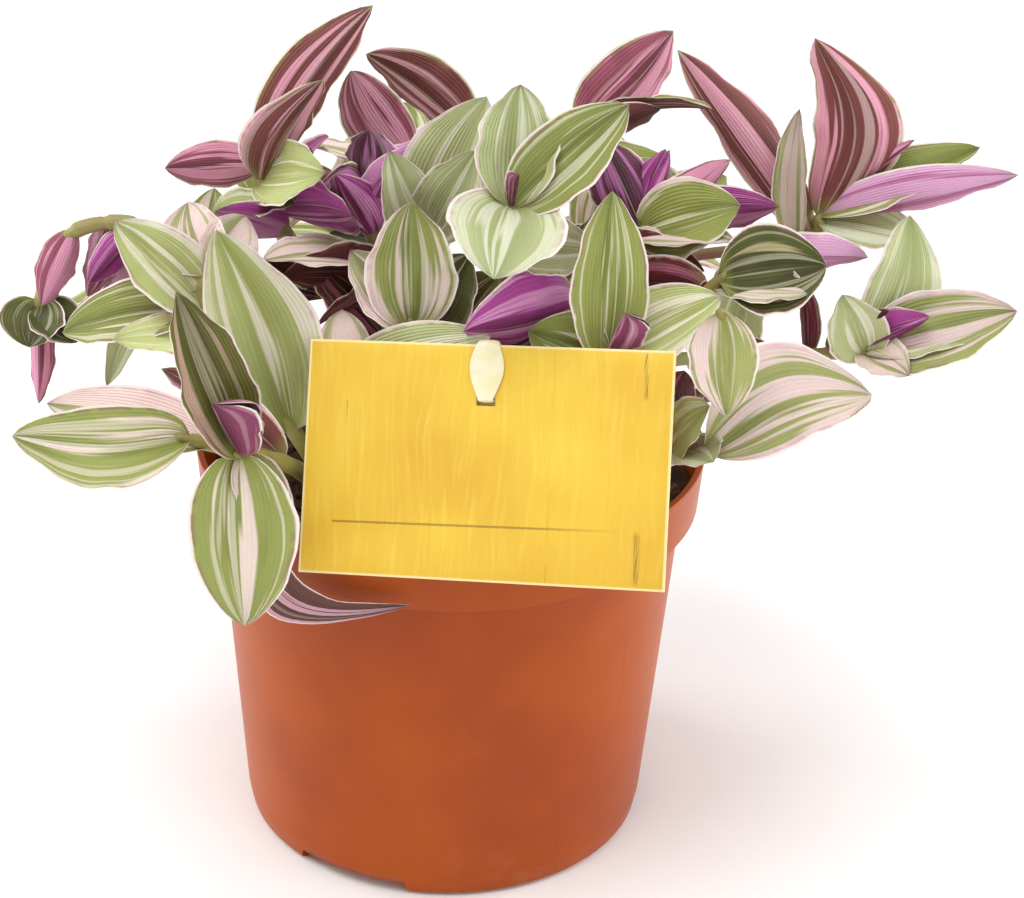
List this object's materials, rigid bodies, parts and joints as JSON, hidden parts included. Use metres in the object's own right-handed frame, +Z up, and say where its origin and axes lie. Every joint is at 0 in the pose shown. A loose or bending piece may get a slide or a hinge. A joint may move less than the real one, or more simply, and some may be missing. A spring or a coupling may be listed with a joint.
{
  "type": "potted tradescantia",
  "caption": "Potted tradescantia: striped green, cream and purple leafy shoots in a brown plastic nursery pot of soil, with a blank yellow card tied at the rim.",
  "frame": {"origin": "middle of the pot's foot, on the surface that the pot stands on", "axes": "+Z up the pot's axis, -Y towards the side where the card leans, +X to the right of someone facing the card"},
  "size_m": [0.2337, 0.1862, 0.196],
  "materials": {
    "pot_plastic": "satin",
    "soil_mix": "matte",
    "card_stock": "satin",
    "tie_plastic": "satin",
    "green_shoot": "satin",
    "purple_shoot": "satin"
  },
  "bodies": {
    "root": {"pot": "pot_plastic", "soil": "soil_mix", "card": "card_stock", "card_tie": "tie_plastic", "shoot_front_left": "green_shoot", "shoot_left": "green_shoot", "shoot_upper_left": "purple_shoot", "shoot_back_left": "purple_shoot", "shoot_middle_left": "green_shoot", "shoot_centre": "green_shoot", "shoot_front": "green_shoot", "shoot_front_right": "green_shoot", "shoot_right": "green_shoot", "shoot_upper_right": "purple_shoot", "shoot_back_right": "green_shoot", "shoot_middle_right": "green_shoot", "shoot_back_far_left": "green_shoot", "shoot_back_mid_left": "green_shoot", "shoot_back_mid_right": "green_shoot", "shoot_back_far_right": "green_shoot"}
  },
  "joints": []
}
